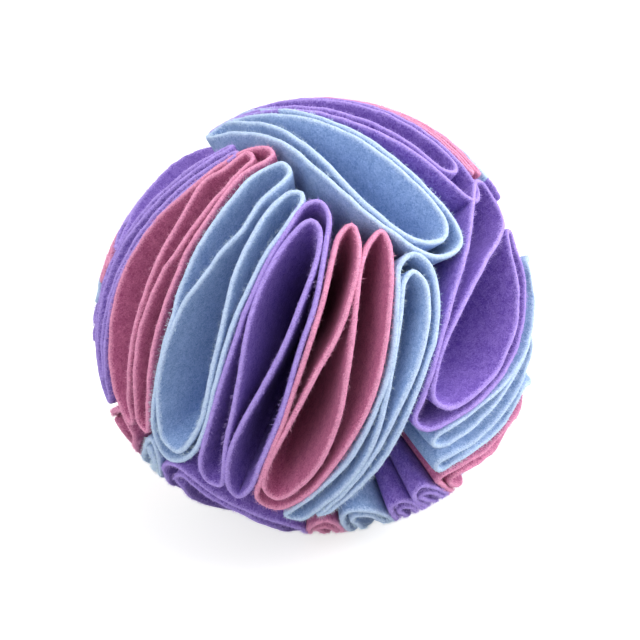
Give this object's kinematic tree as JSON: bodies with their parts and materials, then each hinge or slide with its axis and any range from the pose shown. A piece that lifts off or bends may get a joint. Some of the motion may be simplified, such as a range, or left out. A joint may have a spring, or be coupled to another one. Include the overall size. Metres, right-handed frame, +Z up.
{
  "type": "plush snuffle toy",
  "caption": "Pet snuffle ball of folded felt petals in purple, pink and pale blue, their cut rims on a round outline and their points sewn to a felt core, with treat pockets between the folds.",
  "frame": {"origin": "centre of the ball's outline seen from above, on the surface that it rests on", "axes": "+Z up with the ball lying as pictured; the fan of petals that the picture shows in front faces -Y and a little to -X, and the lean of its petals is to +X"},
  "size_m": [0.1498, 0.1484, 0.148],
  "materials": {
    "felt_purple": "matte wool-like felt, napped",
    "felt_pink": "matte wool-like felt, napped",
    "felt_blue": "matte wool-like felt, napped",
    "core_felt": "matte felt",
    "thread": "twisted polyester thread"
  },
  "bodies": {
    "root": {"front_petal_1_purple": "felt_purple", "front_petal_2_pink": "felt_pink", "front_petal_3_blue": "felt_blue", "front_petal_4_purple": "felt_purple", "front_petal_5_pink": "felt_pink", "front_petal_6_blue": "felt_blue", "top_petal_1_blue": "felt_blue", "top_petal_2_purple": "felt_purple", "top_petal_3_pink": "felt_pink", "top_petal_4_blue": "felt_blue", "top_petal_5_purple": "felt_purple", "right_petal_1_purple": "felt_purple", "right_petal_2_blue": "felt_blue", "right_petal_3_pink": "felt_pink", "right_petal_4_purple": "felt_purple", "right_petal_5_blue": "felt_blue", "bottom_petal_1_purple": "felt_purple", "bottom_petal_2_pink": "felt_pink", "bottom_petal_3_blue": "felt_blue", "bottom_petal_4_purple": "felt_purple", "bottom_petal_5_pink": "felt_pink", "bottom_petal_6_blue": "felt_blue", "left_petal_1_purple": "felt_purple", "left_petal_2_pink": "felt_pink", "left_petal_3_blue": "felt_blue", "left_petal_4_purple": "felt_purple", "left_petal_5_pink": "felt_pink", "left_petal_6_blue": "felt_blue", "back_petal_1_purple": "felt_purple", "back_petal_2_pink": "felt_pink", "back_petal_3_blue": "felt_blue", "back_petal_4_purple": "felt_purple", "felt_core": "core_felt", "thread_loop_front": "thread", "thread_loop_top": "thread", "thread_loop_right": "thread", "thread_loop_bottom": "thread", "thread_loop_left": "thread", "thread_loop_back": "thread"}
  },
  "joints": []
}
